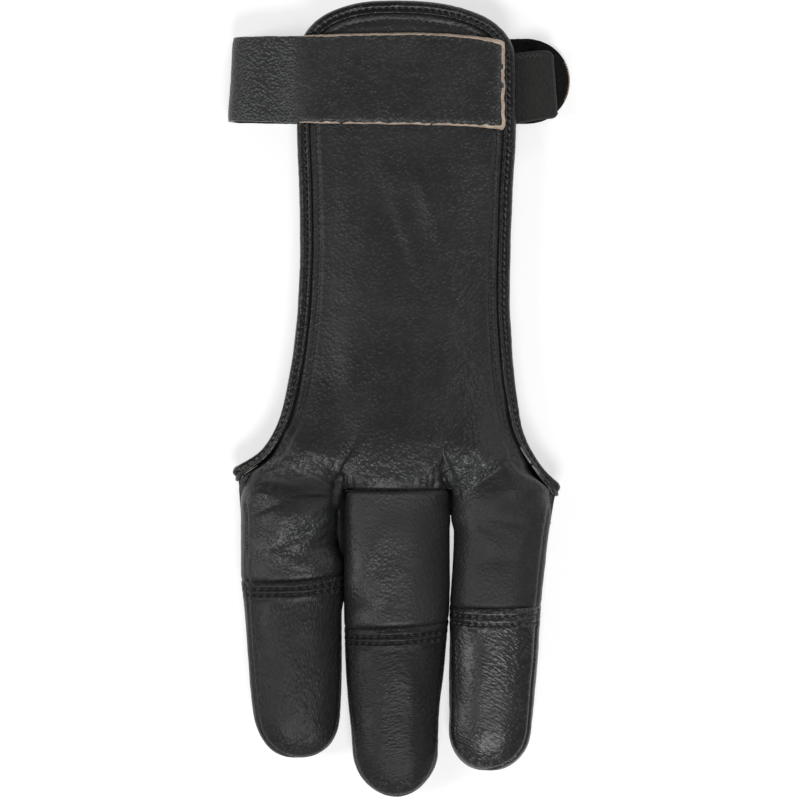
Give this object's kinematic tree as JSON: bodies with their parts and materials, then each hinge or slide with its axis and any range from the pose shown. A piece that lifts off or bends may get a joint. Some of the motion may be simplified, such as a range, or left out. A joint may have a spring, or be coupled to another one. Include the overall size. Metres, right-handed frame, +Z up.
{
  "type": "three-finger archery glove",
  "caption": "Leather archery glove with three capped fingers, an open palm, a bound edge and a wrist strap on elastic.",
  "frame": {"origin": "on the surface that the glove lies on, under the middle of its outline", "axes": "+Y towards the wrist, fingertips towards -Y; +Z up through the back of the glove; +X towards the index finger's side"},
  "size_m": [0.0992, 0.2318, 0.0214],
  "materials": {
    "back_leather": "soft black grain leather, half matt",
    "palm_leather": "soft black grain leather, a little darker than the back",
    "cap_leather": "smoother black leather with fine creases, half gloss",
    "binding_leather": "thin black leather folded over the edge and stitched",
    "strap_leather": "black grain leather with raw beige cut edges",
    "loop_fabric": "black looped pile",
    "elastic_fabric": "dark ribbed elastic webbing",
    "hook_plastic": "black hook tape"
  },
  "bodies": {
    "root": {"back_panel": "back_leather", "middle_finger_back": "back_leather", "palm_panel": "palm_leather", "ring_fingertip_cap": "cap_leather", "middle_fingertip_cap": "cap_leather", "index_fingertip_cap": "cap_leather", "edge_binding": "binding_leather", "wrist_strap": "strap_leather", "strap_loop_pad": "loop_fabric", "elastic_band": "elastic_fabric", "elastic_hook_pad": "hook_plastic"}
  },
  "joints": []
}
